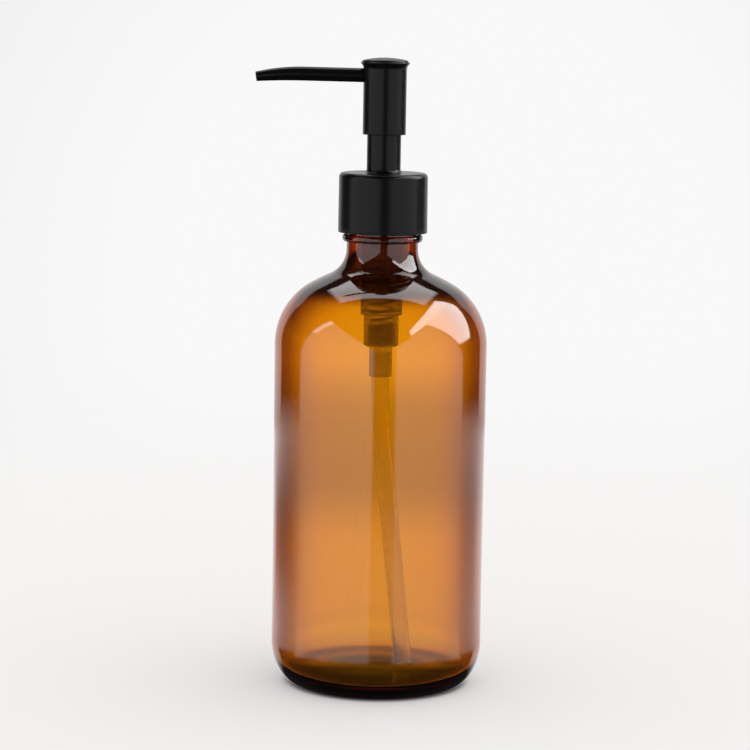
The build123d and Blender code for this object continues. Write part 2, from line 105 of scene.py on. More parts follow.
def panel(radiance, *edges):
    """A lit board or softbox, bounded by edges given as a normal, an offset and a softness."""
    light = radiance
    for normal, offset, softness in edges:
        reach = node(studio, "VectorMath", {0: direction, 1: normal}, operation="DOT_PRODUCT")
        inside = node(
            studio,
            "MapRange",
            {
                "Value": reach.outputs["Value"],
                "From Min": offset - softness,
                "From Max": offset + softness,
            },
            interpolation_type="SMOOTHSTEP",
        )
        light = node(
            studio, "Math", {0: light, 1: inside.outputs["Result"]}, operation="MULTIPLY"
        ).outputs[0]
    return light


# the edges of what is reflected, in the terms that panel takes
front_left = ((-1.0, 0.12, 0.0), 0.0, 0.04)
front_right = ((1.0, 0.30, 0.0), 0.0, 0.05)
table_rim = ((0.0, 0.0, -1.0), 0.148, 0.010)
table_middle_rim = ((0.0, 0.0, -1.0), 0.19, 0.05)
table_near = ((0.0, 0.0, 1.0), -0.25, 0.05)
board_foot = ((0.0, 0.0, 1.0), -0.31, 0.06)
board_left_top = ((-0.662, 0.056, -0.747), 0.0, 0.02)
board_left_back = ((-0.049, -0.906, -0.421), 0.0, 0.03)
strip_front = ((0.049, 0.906, 0.421), -0.11, 0.02)
strip_foot = ((0.0, 0.0, 1.0), 0.30, 0.04)
board_right_top = ((0.676, 0.083, -0.733), 0.0, 0.02)
board_right_back = ((0.065, -0.795, -0.603), 0.0, 0.03)
window_top = ((1.367, 0.160, -1.0), 0.0, 0.03)
window_front = ((1.42, 1.0, 0.0), 0.0, 0.05)
window_back = ((3.213, -2.713, -1.0), 0.0, 0.08)
above_board = ((-0.676, -0.083, 0.733), 0.02, 0.02)
behind_board = ((-0.065, 0.795, 0.603), 0.03, 0.03)
window_far = ((0.740, -1.852, 1.0), 0.0, 0.05)
window_sill = ((-0.063, -0.118, 1.0), 0.0, 0.03)
overhead_left = ((1.0, 0.0, 0.55), 0.0, 0.04)
overhead_right = ((-1.0, 0.0, 0.60), 0.0, 0.04)
overhead_front = ((0.0, 1.0, -0.10), 0.0, 0.04)
overhead_back = ((0.0, -1.0, 0.95), 0.0, 0.04)
sweep_left = ((1.0, 0.95, 0.0), 0.0, 0.06)
sweep_right = ((-1.0, 0.95, 0.0), 0.0, 0.06)
sweep_top = ((0.0, 0.70, -1.0), 0.0, 0.04)
sweep_foot = ((0.0, 0.0, 1.0), -0.38, 0.08)
lights = {
    "table, left": (1.20, table_rim, table_near, front_left),
    "table, right": (1.20, table_rim, table_near, front_right),
    "table, middle": (1.00, table_middle_rim, table_near),
    "left board": (1.50, board_left_top, board_left_back, board_foot, front_left),
    "right board": (1.40, board_right_top, board_right_back, board_foot, front_right),
    "softbox over the right board": (9.0, window_top, window_front, window_back, above_board),
    "softbox past the right board": (
        7.5,
        window_top,
        behind_board,
        window_back,
        window_far,
        window_sill,
    ),
    "strip light past the left board": (
        5.0,
        board_left_top,
        board_left_back,
        strip_front,
        strip_foot,
    ),
    "overhead softbox": (3.2, overhead_left, overhead_right, overhead_front, overhead_back),
    "white sweep": (0.85, sweep_left, sweep_right, sweep_top, sweep_foot),
}
room = 0.03
reflected = room
for parts in lights.values():
    reflected = node(
        studio, "Math", {0: reflected, 1: panel(*parts)}, operation="MAXIMUM"
    ).outputs[0]
# the stands of the boards leave a soft dark patch low on each side
stand_top = ((0.0, 0.0, -1.0), 0.170, 0.020)
stand_foot = ((0.0, 0.0, 1.0), -0.212, 0.018)
stands = {
    "left stand": (0.72, ((-1.0, 0.0, 0.0), 0.50, 0.12), ((0.0, 1.0, 0.0), 0.10, 0.28)),
    "right stand": (0.28, ((1.0, 0.0, 0.0), 0.70, 0.12), ((0.0, 1.0, 0.0), 0.10, 0.25)),
}
for darkness, side, depth in stands.values():
    stand = panel(darkness, stand_top, stand_foot, side, depth)
    kept = node(studio, "Math", {0: 1.0, 1: stand}, operation="SUBTRACT").outputs[0]
    reflected = node(studio, "Math", {0: reflected, 1: kept}, operation="MULTIPLY").outputs[0]

# what shows beside the bottle: white, a little brighter in the middle
edge_white, middle_white, middle_size = 0.875, 0.945, 0.985
middle = node(
    studio, "VectorMath", {0: direction, 1: (0.025, 1.0, -0.10)}, operation="DOT_PRODUCT"
)
seen = node(
    studio,
    "MapRange",
    {
        "Value": middle.outputs["Value"],
        "From Min": middle_size,
        "From Max": 1.0,
        "To Min": edge_white,
        "To Max": middle_white,
    },
).outputs["Result"]
# what shows through the glass: the white behind it, duller towards the table, with a dim
# ceiling
behind_white, near_horizon, table_dulling = 0.97, 1.08, 0.34
sweep = panel(behind_white, ((0.0, 0.0, -1.0), -0.20, 0.10))
table_band = panel(table_dulling, ((0.0, 0.0, -1.0), 0.137, 0.012))
dimmed = node(studio, "Math", {0: near_horizon, 1: table_band}, operation="SUBTRACT").outputs[0]
through = node(studio, "Math", {0: sweep, 1: dimmed}, operation="MULTIPLY").outputs[0]
through = node(studio, "Math", {0: through, 1: room}, operation="MAXIMUM").outputs[0]
# the even light on the floor and other matt surfaces, a little stronger from the right
right_bias = 0.18
sideways = node(studio, "SeparateXYZ", {0: direction}).outputs["X"]
matt = node(
    studio, "Math", {0: sideways, 1: right_bias, 2: 1.0}, operation="MULTIPLY_ADD"
).outputs[0]

path = node(studio, "LightPath")
light = matt
for ray, strength in (
    ("Is Glossy Ray", reflected),
    ("Is Transmission Ray", through),
    ("Is Camera Ray", seen),
):
    light = node(
        studio, "Mix", {0: path.outputs[ray], 2: light, 3: strength}, data_type="FLOAT"
    ).outputs[0]
glow = node(studio, "Background", {"Color": colour("#FFFFFF"), "Strength": light})
node(studio, "OutputWorld", {"Surface": glow.outputs[0]})


# ---------------------------------------------------------------- floor
# The white table top: matt board that runs out into the white behind it. Painted light
# makes it glow a little round the bottle, and a painted shadow darkens it under the bottle.
floor_drop, floor_radius = 0.05, 1600
bpy.ops.object.select_all(action="DESELECT")
bpy.ops.mesh.primitive_circle_add(
    vertices=96, radius=floor_radius * MM, fill_type="NGON", location=(0, 0, -floor_drop * MM)
)
floor = bpy.context.active_object
floor.name = "floor"


def new_material(name):
    """A material with one Principled shader, and its node tree and shader."""
    material = bpy.data.materials.new(name)
    material.use_nodes = True
    tree = material.node_tree
    tree.nodes.clear()
    shader = node(tree, "BsdfPrincipled")
    node(tree, "OutputMaterial", {"Surface": shader.outputs[0]})
    return material, tree, shader


def ring(tree, start, end, most=1.0):
    """A smooth climb from nought to the most, between two distances in mm from the axis."""
    place = node(tree, "TexCoord").outputs["Object"]
    far = node(tree, "VectorMath", {0: place}, operation="LENGTH").outputs["Value"]
    return node(
        tree,
        "MapRange",
        {"Value": far, "From Min": start * MM, "From Max": end * MM, "To Max": most},
        interpolation_type="SMOOTHSTEP",
    ).outputs["Result"]


white_board, tree, shader = new_material("matt_white_board_painted_shadow")
shader.inputs["Emission Color"].default_value = colour("#FFFFFF")
shader.inputs["Roughness"].default_value = 0.9
shader.inputs["Specular IOR Level"].default_value = 0.0
# painted glow and shadow: the board glows a little, and is painted dark under the bottle
painted_board_glow = 0.28
beyond_painted_shadow = ring(tree, 26, 35)
painted_glow_strength = node(tree, "Math", {0: beyond_painted_shadow, 1: painted_board_glow}, operation="MULTIPLY").outputs[0]
tree.links.new(painted_glow_strength, shader.inputs["Emission Strength"])
board = node(tree, "Mix", {0: beyond_painted_shadow}, data_type="RGBA")
board.inputs[6].default_value = colour("#4A4038")
board.inputs[7].default_value = colour("#D2D0CF")
tree.links.new(board.outputs[2], shader.inputs["Base Color"])
# painted shade: seen through the glass only, the board further off is darkened towards black
through_glass = node(tree, "LightPath").outputs["Is Transmission Ray"]
far_painted_shade = ring(tree, 240, 420, most=0.38)
dull = node(tree, "Math", {0: far_painted_shade, 1: through_glass}, operation="MULTIPLY").outputs[0]
black = node(tree, "Emission", {"Color": colour("#000000")})
seen_board = node(tree, "MixShader", {0: dull, 1: shader.outputs[0], 2: black.outputs[0]})
clear = node(tree, "BsdfTransparent")
blend = node(
    tree,
    "MixShader",
    {0: ring(tree, 220, 950), 1: seen_board.outputs[0], 2: clear.outputs[0]},
)
tree.links.new(blend.outputs[0], tree.nodes["Material Output"].inputs["Surface"])
floor.data.materials.append(white_board)
floor.visible_glossy = False

# painted shadow: a dark disc where the bottle stands, seen as shadow in the heel's glass
painted_shadow_radius = 36
bpy.ops.object.select_all(action="DESELECT")
bpy.ops.mesh.primitive_circle_add(
    vertices=64,
    radius=painted_shadow_radius * MM,
    fill_type="NGON",
    location=(0, 0, -floor_drop / 2 * MM),
)
painted_shadow_disc = bpy.context.active_object
painted_shadow_disc.name = "painted_shadow_disc"
painted_shadow_material, tree, shader = new_material("painted_contact_shadow")
shader.inputs["Base Color"].default_value = colour("#2A2622")
shader.inputs["Roughness"].default_value = 1.0
shader.inputs["Specular IOR Level"].default_value = 0.0
clear = node(tree, "BsdfTransparent")
blend = node(
    tree,
    "MixShader",
    {0: ring(tree, 27.5, 33.5), 1: shader.outputs[0], 2: clear.outputs[0]},
)
tree.links.new(blend.outputs[0], tree.nodes["Material Output"].inputs["Surface"])
painted_shadow_disc.data.materials.append(painted_shadow_material)

# ---------------------------------------------------------------- bottle
# A round-shouldered bottle of amber soda-lime glass, blown in a two-part mould. It has
# a rounded heel, a shallow punt inside the ring it stands on, and a threaded finish with
# a bead under the thread.
body_radius = 37.5
glass_wall = 2.3
shoulder_radius = 24.75
shoulder_turn = 61.0
slope_radius = 82.6
neck_fillet = 9.8
neck_start = 155.2
finish_radius = 12.6
bore_radius = 9.0
lip_z = 170.0
pen = [0.0, 0.0]


def begin(radius, height):
    """Start a turned outline: one point, at a radius and height in millimetres."""
    bpy.ops.object.select_all(action="DESELECT")
    bpy.ops.mesh.primitive_plane_add(size=MM)
    bpy.ops.object.mode_set(mode="EDIT")
    bpy.ops.mesh.select_all(action="SELECT")
    bpy.ops.mesh.merge(type="CENTER")
    bpy.ops.transform.translate(value=(radius * MM, 0, height * MM))
    pen[:] = radius, height


def line(radius, height, steps=1):
    """Carry the outline straight on to a point."""
    step = ((radius - pen[0]) / steps * MM, 0, (height - pen[1]) / steps * MM)
    for _ in range(steps):
        bpy.ops.mesh.extrude_vertices_move(TRANSFORM_OT_translate={"value": step})
    pen[:] = radius, height


def arc(radius, height, run, start, end, steps, rise=None):
    """Carry the outline round a centre from one angle to another, in degrees."""
    for step in range(steps + 1):
        angle = math.radians(start + (end - start) * step / steps)
        corner = radius + run * math.cos(angle), height + (rise or run) * math.sin(angle)
        if math.dist(corner, pen) > 0.001:
            line(*corner)


def turn(name, segments):
    """Spin the outline about the axis into a closed piece."""
    bpy.ops.mesh.select_all(action="SELECT")
    bpy.ops.mesh.spin(steps=segments, angle=2 * math.pi, center=(0, 0, 0), axis=(0, 0, 1))
    bpy.ops.mesh.select_all(action="SELECT")
    bpy.ops.mesh.remove_doubles(threshold=0.0005 * MM)
    return close_up(name)


def close_up(name):
    """Point the faces outwards, leave edit mode, and smooth all but the sharp edges."""
    bpy.ops.mesh.select_all(action="SELECT")
    bpy.ops.mesh.normals_make_consistent(inside=False)
    bpy.ops.object.mode_set(mode="OBJECT")
    bpy.ops.object.transform_apply(location=True, rotation=True, scale=True)
    bpy.ops.object.shade_smooth_by_angle(angle=math.radians(32))
    piece = bpy.context.active_object
    piece.name = name
    piece.data.name = name
    return piece


def shoulder_shape(inset, fillet):
    """Centres of the slope's arc and the neck's fillet, for a wall inset from the outside."""
    gap = slope_radius - shoulder_radius
    slope_r = body_radius - shoulder_radius - gap * math.cos(math.radians(shoulder_turn))
    slope_z = -gap * math.sin(math.radians(shoulder_turn))
    reach = slope_radius - inset + fillet
    fillet_r = finish_radius + neck_fillet
    fillet_z = slope_z + math.sqrt(reach**2 - (fillet_r - slope_r) ** 2)
    return slope_r, slope_z, fillet_r, fillet_z


def slope_end(inset, fillet):
    """The angle at which the slope's arc runs into the neck's fillet, in degrees."""
    slope_r, slope_z, fillet_r, fillet_z = shoulder_shape(inset, fillet)
    return math.degrees(math.atan2(fillet_z - slope_z, fillet_r - slope_r))


side_top = neck_start - shoulder_shape(0, neck_fillet)[3]
slope_r, slope_z, fillet_r, fillet_z = shoulder_shape(0, neck_fillet)
punt, ring_inner, ring_outer = 1.6, 26.1, 28.5
punt_radius = (ring_inner**2 + punt**2) / (2 * punt)
punt_edge = math.degrees(math.atan2(punt_radius - punt, ring_inner))
heel_run, heel_rise = 9.0, 15.7
bead_low, bead_high, bead_out, bead_round = 157.85, 160.35, 14.15, 0.9
lip_round, inner_lip = 0.8, 0.5
floor_z, inner_heel_run, inner_heel_rise = 4.8, 5.0, 9.0

# outside, from the punt up to the lip
begin(0, punt)
arc(0, punt - punt_radius, punt_radius, 90, punt_edge, 8)
line(ring_outer, 0, 3)
arc(ring_outer, heel_rise, heel_run, -90, 0, 28, rise=heel_rise)
line(body_radius, side_top, 14)
arc(body_radius - shoulder_radius, side_top, shoulder_radius, 0, shoulder_turn, 22)
arc(slope_r, side_top + slope_z, slope_radius, shoulder_turn, slope_end(0, neck_fillet), 10)
arc(fillet_r, neck_start, neck_fillet, 180 + slope_end(0, neck_fillet), 180, 14)
bead_centre = bead_out - bead_round
line(finish_radius, bead_low, 2)
line(bead_centre, bead_low)
arc(bead_centre, bead_low + bead_round, bead_round, -90, 0, 6)
arc(bead_centre, bead_high - bead_round, bead_round, 0, 90, 6)
line(finish_radius, bead_high)
line(finish_radius, lip_z - lip_round, 6)
arc(finish_radius - lip_round, lip_z - lip_round, lip_round, 0, 90, 5)

# inside, from the lip down to the floor
inner_radius = body_radius - glass_wall
inner_fillet = neck_fillet + finish_radius - bore_radius
inner_end = slope_end(glass_wall, inner_fillet)
inner_fillet_z = side_top + shoulder_shape(glass_wall, inner_fillet)[3]
arc(bore_radius + inner_lip, lip_z - inner_lip, inner_lip, 90, 180, 4)
line(bore_radius, inner_fillet_z, 5)
arc(fillet_r, inner_fillet_z, inner_fillet, 180, 180 + inner_end, 14)
arc(slope_r, side_top + slope_z, slope_radius - glass_wall, inner_end, shoulder_turn, 10)
arc(
    body_radius - shoulder_radius,
    side_top,
    shoulder_radius - glass_wall,
    shoulder_turn,
    0,
    20,
)
line(inner_radius, floor_z + inner_heel_rise, 14)
arc(
    inner_radius - inner_heel_run,
    floor_z + inner_heel_rise,
    inner_heel_run,
    0,
    -90,
    16,
    rise=inner_heel_rise,
)
line(0, floor_z, 6)
bottle = turn("bottle_glass", 192)

amber_glass, tree, shader = new_material("amber_soda_lime_glass")
# iron and sulphur in the melt take out the blue and part of the green; the surface is
# fire-polished, with the faint waviness that a mould leaves
wave_length, wave_depth = 16.0, 0.02
shader.inputs["Roughness"].default_value = 0.0
shader.inputs["IOR"].default_value = 1.52
shader.inputs["Transmission Weight"].default_value = 1.0
tint = node(tree, "VolumeAbsorption", {"Color": colour("#FAE500"), "Density": 1330.0})
tree.links.new(tint.outputs[0], tree.nodes["Material Output"].inputs["Volume"])
place = node(tree, "TexCoord").outputs["Object"]
waves = node(
    tree, "TexNoise", {"Vector": place, "Scale": 1 / (wave_length * MM), "Detail": 1.0}
)
swell = node(
    tree,
    "Bump",
    {"Strength": 1.0, "Distance": wave_depth * MM, "Height": waves.outputs[0]},
)
tree.links.new(swell.outputs[0], shader.inputs["Normal"])
# seen edge on, a wall is many times as deep, and darker than its thin middle
grazing = node(tree, "LayerWeight", {"Blend": 0.5}).outputs["Facing"]
edge_on = node(
    tree,
    "MapRange",
    {"Value": grazing, "From Min": 0.15, "From Max": 0.66},
    interpolation_type="SMOOTHSTEP",
).outputs["Result"]
deep = node(tree, "Mix", {0: edge_on}, data_type="RGBA")
deep.inputs[6].default_value = colour("#FFFFFF")
deep.inputs[7].default_value = colour("#957A50")
# the glass's colour darkens high on the shoulder and stays darker up into the neck
deep_low, deep_high = 130, 160
height = node(tree, "SeparateXYZ", {0: place}).outputs["Z"]
up = node(
    tree,
    "MapRange",
    {"Value": height, "From Min": deep_low * MM, "From Max": deep_high * MM},
).outputs["Result"]
depth = node(tree, "ValToRGB", {0: up})
depth.color_ramp.interpolation = "EASE"
stops = depth.color_ramp.elements
stops[0].position, stops[0].color = 0.22, colour("#FFFFFF")
stops[1].position, stops[1].color = 0.80, colour("#B4A398")
for position, code in ((0.38, "#807468"), (0.55, "#8C8076")):
    stops.new(position).color = colour(code)
heavy = node(tree, "Mix", {0: 1.0}, data_type="RGBA", blend_type="MULTIPLY")
tree.links.new(deep.outputs[2], heavy.inputs[6])
tree.links.new(depth.outputs[0], heavy.inputs[7])
tree.links.new(heavy.outputs[2], shader.inputs["Base Color"])
bottle.data.materials.append(amber_glass)
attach(bottle, "bottle")
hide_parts("bottle")

# the thread: one ridge with sloping flanks, a little over one turn, moulded on the finish
inch, threads_per_inch = 25.4, 6
thread_pitch = inch / threads_per_inch
thread_start = 163.2
thread_steps = 42
thread_turn = 360 * 1.15
ridge_out, ridge_in, root_half, crest_half = 13.7, 12.3, 1.05, 0.475
bpy.ops.object.select_all(action="DESELECT")
bpy.ops.mesh.primitive_plane_add(size=2 * root_half * MM, rotation=(math.pi / 2, 0, 0))
bpy.ops.object.transform_apply(rotation=True)
bpy.ops.object.mode_set(mode="EDIT")
bpy.ops.mesh.select_all(action="SELECT")
bpy.ops.transform.resize(value=((ridge_out - ridge_in) / (2 * root_half), 1, 1))
bpy.ops.transform.translate(value=((ridge_out + ridge_in) / 2 * MM, 0, thread_start * MM))
thread = bpy.context.active_object
bpy.ops.object.mode_set(mode="OBJECT")
bpy.ops.object.select_all(action="DESELECT")
thread.select_set(True)
for corner in thread.data.vertices:
    corner.select = corner.co.x > (ridge_out + ridge_in) / 2 * MM
for side in (*thread.data.edges, *thread.data.polygons):
    side.select = False
bpy.ops.object.mode_set(mode="EDIT")
bpy.ops.transform.resize(
    value=(1, 1, crest_half / root_half), center_override=(0, 0, thread_start * MM)
)
bpy.ops.mesh.select_all(action="SELECT")
for _ in range(thread_steps):
    bpy.ops.mesh.extrude_region_move(
        TRANSFORM_OT_translate={
            "value": (0, 0, thread_pitch * thread_turn / 360 / thread_steps * MM)
        }
    )
    bpy.ops.transform.rotate(
        value=-math.radians(thread_turn / thread_steps),
        orient_axis="Z",
        center_override=(0, 0, 0),
    )
close_up("thread_ridge")


def combine(piece, tool, operation):
    """Join or cut a piece with another mesh, which is then gone."""
    bpy.ops.object.select_all(action="DESELECT")
    piece.select_set(True)
    bpy.context.view_layer.objects.active = piece
    join = piece.modifiers.new("joint", "BOOLEAN")
    join.object = tool
    join.operation = operation
    join.solver = "EXACT"
    bpy.ops.object.modifier_apply(modifier=join.name)
    bpy.data.objects.remove(tool)
    bpy.ops.object.shade_smooth_by_angle(angle=math.radians(32))


combine(bottle, thread, "UNION")

# ---------------------------------------------------------------- black collar
# A drawn stainless shell over the threaded cap, with a rolled top edge and a short
# chimney round the stem. Black cathodic coat, satin: nearly no grain, soft highlights.
collar_out, collar_in, collar_low, collar_high = 15.7, 15.3, 161.05, 182.0
sheet = 0.4
edge_round, foot_round, rim_round = 1.6, 1.3, 0.15
chimney_out, chimney_in, chimney_high = 5.96, 5.56, 197.0
draft = 0.1
begin(collar_in, collar_low)
arc(collar_out - rim_round, collar_low + rim_round, rim_round, -90, 0, 4)
line(collar_out - draft, collar_high - edge_round, 8)
arc(collar_out - draft - edge_round, collar_high - edge_round, edge_round, 0, 90, 12)
line(chimney_out + foot_round, collar_high, 5)
arc(chimney_out + foot_round, collar_high + foot_round, foot_round, 270, 180, 10)
line(chimney_out, chimney_high - rim_round, 6)
arc(chimney_out - rim_round, chimney_high - rim_round, rim_round, 0, 90, 3)
line(chimney_in, chimney_high)
line(chimney_in, collar_high - sheet, 4)
inner_round = edge_round - sheet
line(collar_in - draft - inner_round, collar_high - sheet, 4)
arc(collar_in - draft - inner_round, collar_high - edge_round, inner_round, 90, 0, 8)
line(collar_in, collar_low, 6)
collar = turn("collar", 128)


def coated_black(name, roughness):
    """Black electrocoat over steel: a thin even paint film with a barely seen orange peel."""
    cloud_size, peel_size, peel_depth, patchy = 5, 0.35, 0.006, 0.03
    material, tree, shader = new_material(name)
    place = node(tree, "TexCoord").outputs["Object"]
    cloud = node(
        tree, "TexNoise", {"Vector": place, "Scale": 1 / (cloud_size * MM), "Detail": 2.0}
    )
    rough = node(
        tree,
        "MapRange",
        {"Value": cloud.outputs[0], "To Min": roughness - patchy, "To Max": roughness + patchy},
    )
    tree.links.new(rough.outputs["Result"], shader.inputs["Roughness"])
    peel = node(
        tree, "TexNoise", {"Vector": place, "Scale": 1 / (peel_size * MM), "Detail": 2.0}
    )
    bump = node(
        tree, "Bump", {"Strength": 0.5, "Distance": peel_depth * MM, "Height": peel.outputs[0]}
    )
    tree.links.new(bump.outputs[0], shader.inputs["Normal"])
    shader.inputs["Base Color"].default_value = colour("#080808")
    shader.inputs["Specular IOR Level"].default_value = 0.16
    return material


satin_black = coated_black("satin_black_electrocoat_on_steel", 0.26)
collar.data.materials.append(satin_black)
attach(collar, "closure")
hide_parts("collar_shell")

# ---------------------------------------------------------------- spout
# A slim steel tube pressed into the head. It leaves the head almost level, then droops
# in one long bend and narrows to its tip. Same black coat as the collar.
spout_z, spout_root, spout_bend, spout_reach = 215.8, 4.6, 28.0, 45.1
spout_radius, tip_radius, spout_wall, spout_rim = 2.46, 1.68, 0.5, 0.12
droop_radius = 105.0
rise = math.radians(0.6)
droop = math.asin((spout_reach - spout_bend) / droop_radius - math.sin(rise)) + rise


def spout_tube(extra, bend_steps=18, level_steps=6):
    """The spout's outside, grown by a clearance; the tube's own wall comes after."""
    bpy.ops.object.select_all(action="DESELECT")
    bpy.ops.mesh.primitive_circle_add(
        vertices=40,
        radius=(spout_radius + extra) * MM,
        location=(-spout_root * MM, 0, spout_z * MM),
        rotation=(0, math.pi / 2 + rise, 0),
    )
    bpy.ops.object.transform_apply(location=True, rotation=True, scale=True)
    bpy.ops.object.mode_set(mode="EDIT")
    bpy.ops.mesh.select_all(action="SELECT")
    x, z, slope = -spout_root, spout_z, rise
    width = spout_radius + extra
    runs = [((spout_bend - spout_root) / level_steps / math.cos(rise), 0.0)] * level_steps
    runs += [(droop_radius * droop / bend_steps, droop / bend_steps)] * bend_steps
    for length, bend in runs:
        slope -= bend / 2
        step = -length * math.cos(slope), length * math.sin(slope)
        x, z, slope = x + step[0], z + step[1], slope - bend / 2
        bpy.ops.mesh.extrude_region_move(
            TRANSFORM_OT_translate={"value": (step[0] * MM, 0, step[1] * MM)}
        )
        centre = (x * MM, 0, z * MM)
        if bend:
            bpy.ops.transform.rotate(value=bend, orient_axis="Y", center_override=centre)
        past = max(0.0, -x - spout_bend) / (spout_reach - spout_bend)
        new_width = spout_radius + extra - (spout_radius - tip_radius) * past**2
        if new_width != width:
            bpy.ops.transform.resize(value=(new_width / width,) * 3, center_override=centre)
        width = new_width


spout_tube(0.0)
spout = close_up("spout_tube")
# a lone open tube may be turned inside out by the recalculation, so its own normals
# decide which way the wall goes
halfway = -20.0
middle_face = min(spout.data.polygons, key=lambda face: abs(face.center.x - halfway * MM))
outward = middle_face.normal.y * middle_face.center.y + middle_face.normal.z * (
    middle_face.center.z - spout_z * MM
)
wall = spout.modifiers.new("wall", "SOLIDIFY")
wall.thickness = spout_wall * MM
wall.offset = -1 if outward > 0 else 1
bpy.ops.object.modifier_apply(modifier="wall")
soft_rim = spout.modifiers.new("soft_rim", "BEVEL")
soft_rim.width = spout_rim * MM
soft_rim.segments = 2
soft_rim.limit_method = "ANGLE"
soft_rim.angle_limit = math.radians(50)
bpy.ops.object.modifier_apply(modifier="soft_rim")
bpy.ops.object.mode_set(mode="EDIT")
close_up("spout_tube")
spout.data.materials.append(satin_black)
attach(spout, "head")
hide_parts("spout")

# ---------------------------------------------------------------- head sleeve and cap
# The press-down head: a straight steel sleeve that flares to a thin rolled lip, closed
# by a shallow domed cap set into the flare. Same black coat.
sleeve_in, sleeve_out, sleeve_low = 7.06, 7.56, 195.3
sleeve_edge, sleeve_rim = 0.15, 0.12
flare_r, flare_z, flare_out, flare_in, flare_end = 10.56, 217.75, 3.0, 3.5, 132.3
begin(sleeve_in, sleeve_low)
line(sleeve_in + sleeve_rim, sleeve_low)
arc(sleeve_out - sleeve_edge, sleeve_low + sleeve_edge, sleeve_edge, -90, 0, 4)
line(sleeve_out, flare_z, 16)
arc(flare_r, flare_z, flare_out, 180, flare_end, 14)
lip_turn = math.radians(flare_end)
lip_middle = (flare_out + flare_in) / 2
arc(
    flare_r + lip_middle * math.cos(lip_turn),
    flare_z + lip_middle * math.sin(lip_turn),
    (flare_in - flare_out) / 2,
    flare_end - 180,
    flare_end,
    8,
)
arc(flare_r, flare_z, flare_in, flare_end, 180, 14)
line(sleeve_in, sleeve_low, 16)
sleeve = turn("head_sleeve", 96)
slip_fit = 0.05
spout_tube(slip_fit, bend_steps=6)
bpy.ops.mesh.select_all(action="SELECT")
bpy.ops.mesh.fill_holes(sides=0)
combine(sleeve, close_up("spout_hole"), "DIFFERENCE")

head_top, dome, cap_edge, cap_low = 222.1, 33.0, 0.77, 219.25
seat = flare_in + slip_fit
seat_low = math.degrees(math.asin((cap_low - flare_z) / seat))
cap_out = flare_r + seat * math.cos(lip_turn)
round_r = cap_out - cap_edge
round_z = head_top - dome + math.sqrt((dome - cap_edge) ** 2 - round_r**2)
round_turn = math.degrees(math.atan2(round_z - head_top + dome, round_r))
begin(0, cap_low)
line(flare_r - seat * math.cos(math.radians(seat_low)), cap_low, 3)
arc(flare_r, flare_z, seat, 180 - seat_low, flare_end, 8)
arc(round_r, round_z, cap_edge, 0, round_turn, 10)
arc(0, head_top - dome, dome, round_turn, 90, 12)
cap = turn("head_cap", 96)
for piece, stands_for in ((sleeve, "head_sleeve"), (cap, "head_cap")):
    piece.data.materials.append(satin_black)
    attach(piece, "head")
    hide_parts(stands_for)

# ---------------------------------------------------------------- pump housing
# The pump's barrel hangs in the neck: injection-moulded natural polypropylene, milky
# and see-through, in two stepped diameters with a tail that grips the dip tube.
tail_low, tail_high, tail_bore, tail_out = 110.1, 120.8, 3.2, 4.05
tube_stop, seat_floor, port = 118.5, 121.7, 1.75
lower_bore, lower_out, lower_round, lower_high = 5.0, 6.15, 1.0, 132.2
barrel_bore, barrel_out, bore_step = 6.1, 7.32, (133.42, 134.22)
flange_out, flange_low, flange_high, flange_fillet = 13.6, 171.2, 172.8, 0.6
soft_edge = 0.3
begin(tail_bore, tail_low)
arc(tail_out - soft_edge, tail_low + soft_edge, soft_edge, -90, 0, 3)
line(tail_out, tail_high, 3)
arc(lower_out - lower_round, tail_high + lower_round, lower_round, -90, 0, 6)
line(lower_out, lower_high, 3)
arc(barrel_out - soft_edge, lower_high + soft_edge, soft_edge, -90, 0, 3)
line(barrel_out, flange_low - flange_fillet, 8)
arc(barrel_out + flange_fillet, flange_low - flange_fillet, flange_fillet, 180, 90, 5)
line(flange_out, flange_low, 3)
line(flange_out, flange_high)
line(barrel_bore, flange_high, 3)
line(barrel_bore, bore_step[1], 8)
line(lower_bore, bore_step[0])
line(lower_bore, seat_floor, 3)
line(port, seat_floor)
line(port, tube_stop)
line(tail_bore, tube_stop)
line(tail_bore, tail_low, 2)
housing = turn("pump_housing", 96)
vent_radius, vent_z = 0.75, 165
bpy.ops.object.select_all(action="DESELECT")
bpy.ops.mesh.primitive_cylinder_add(
    vertices=32,
    radius=vent_radius * MM,
    depth=4 * MM,
    location=(0, 7 * MM, vent_z * MM),
    rotation=(math.pi / 2, 0, 0),
)
combine(housing, bpy.context.active_object, "DIFFERENCE")


def milky_plastic(name, haze, code):
    """Natural, unpigmented plastic: clear enough to see through, softened by its crystals."""
    flow_size, flow_depth, patchy = 3, 0.01, 0.05
    material, tree, shader = new_material(name)
    place = node(tree, "TexCoord").outputs["Object"]
    flow = node(
        tree, "TexNoise", {"Vector": place, "Scale": 1 / (flow_size * MM), "Detail": 2.0}
    )
    rough = node(
        tree,
        "MapRange",
        {"Value": flow.outputs[0], "To Min": haze - patchy, "To Max": haze + patchy},
    )
    tree.links.new(rough.outputs["Result"], shader.inputs["Roughness"])
    bump = node(
        tree, "Bump", {"Strength": 0.5, "Distance": flow_depth * MM, "Height": flow.outputs[0]}
    )
    tree.links.new(bump.outputs[0], shader.inputs["Normal"])
    shader.inputs["Base Color"].default_value = colour(code)
    shader.inputs["IOR"].default_value = 1.49
    return material, shader


natural_polypropylene, shader = milky_plastic("natural_polypropylene_moulded", 0.30, "#F6F2E8")
shader.inputs["Transmission Weight"].default_value = 0.92
housing.data.materials.append(natural_polypropylene)
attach(housing, "pump_body")
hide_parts("pump_housing")

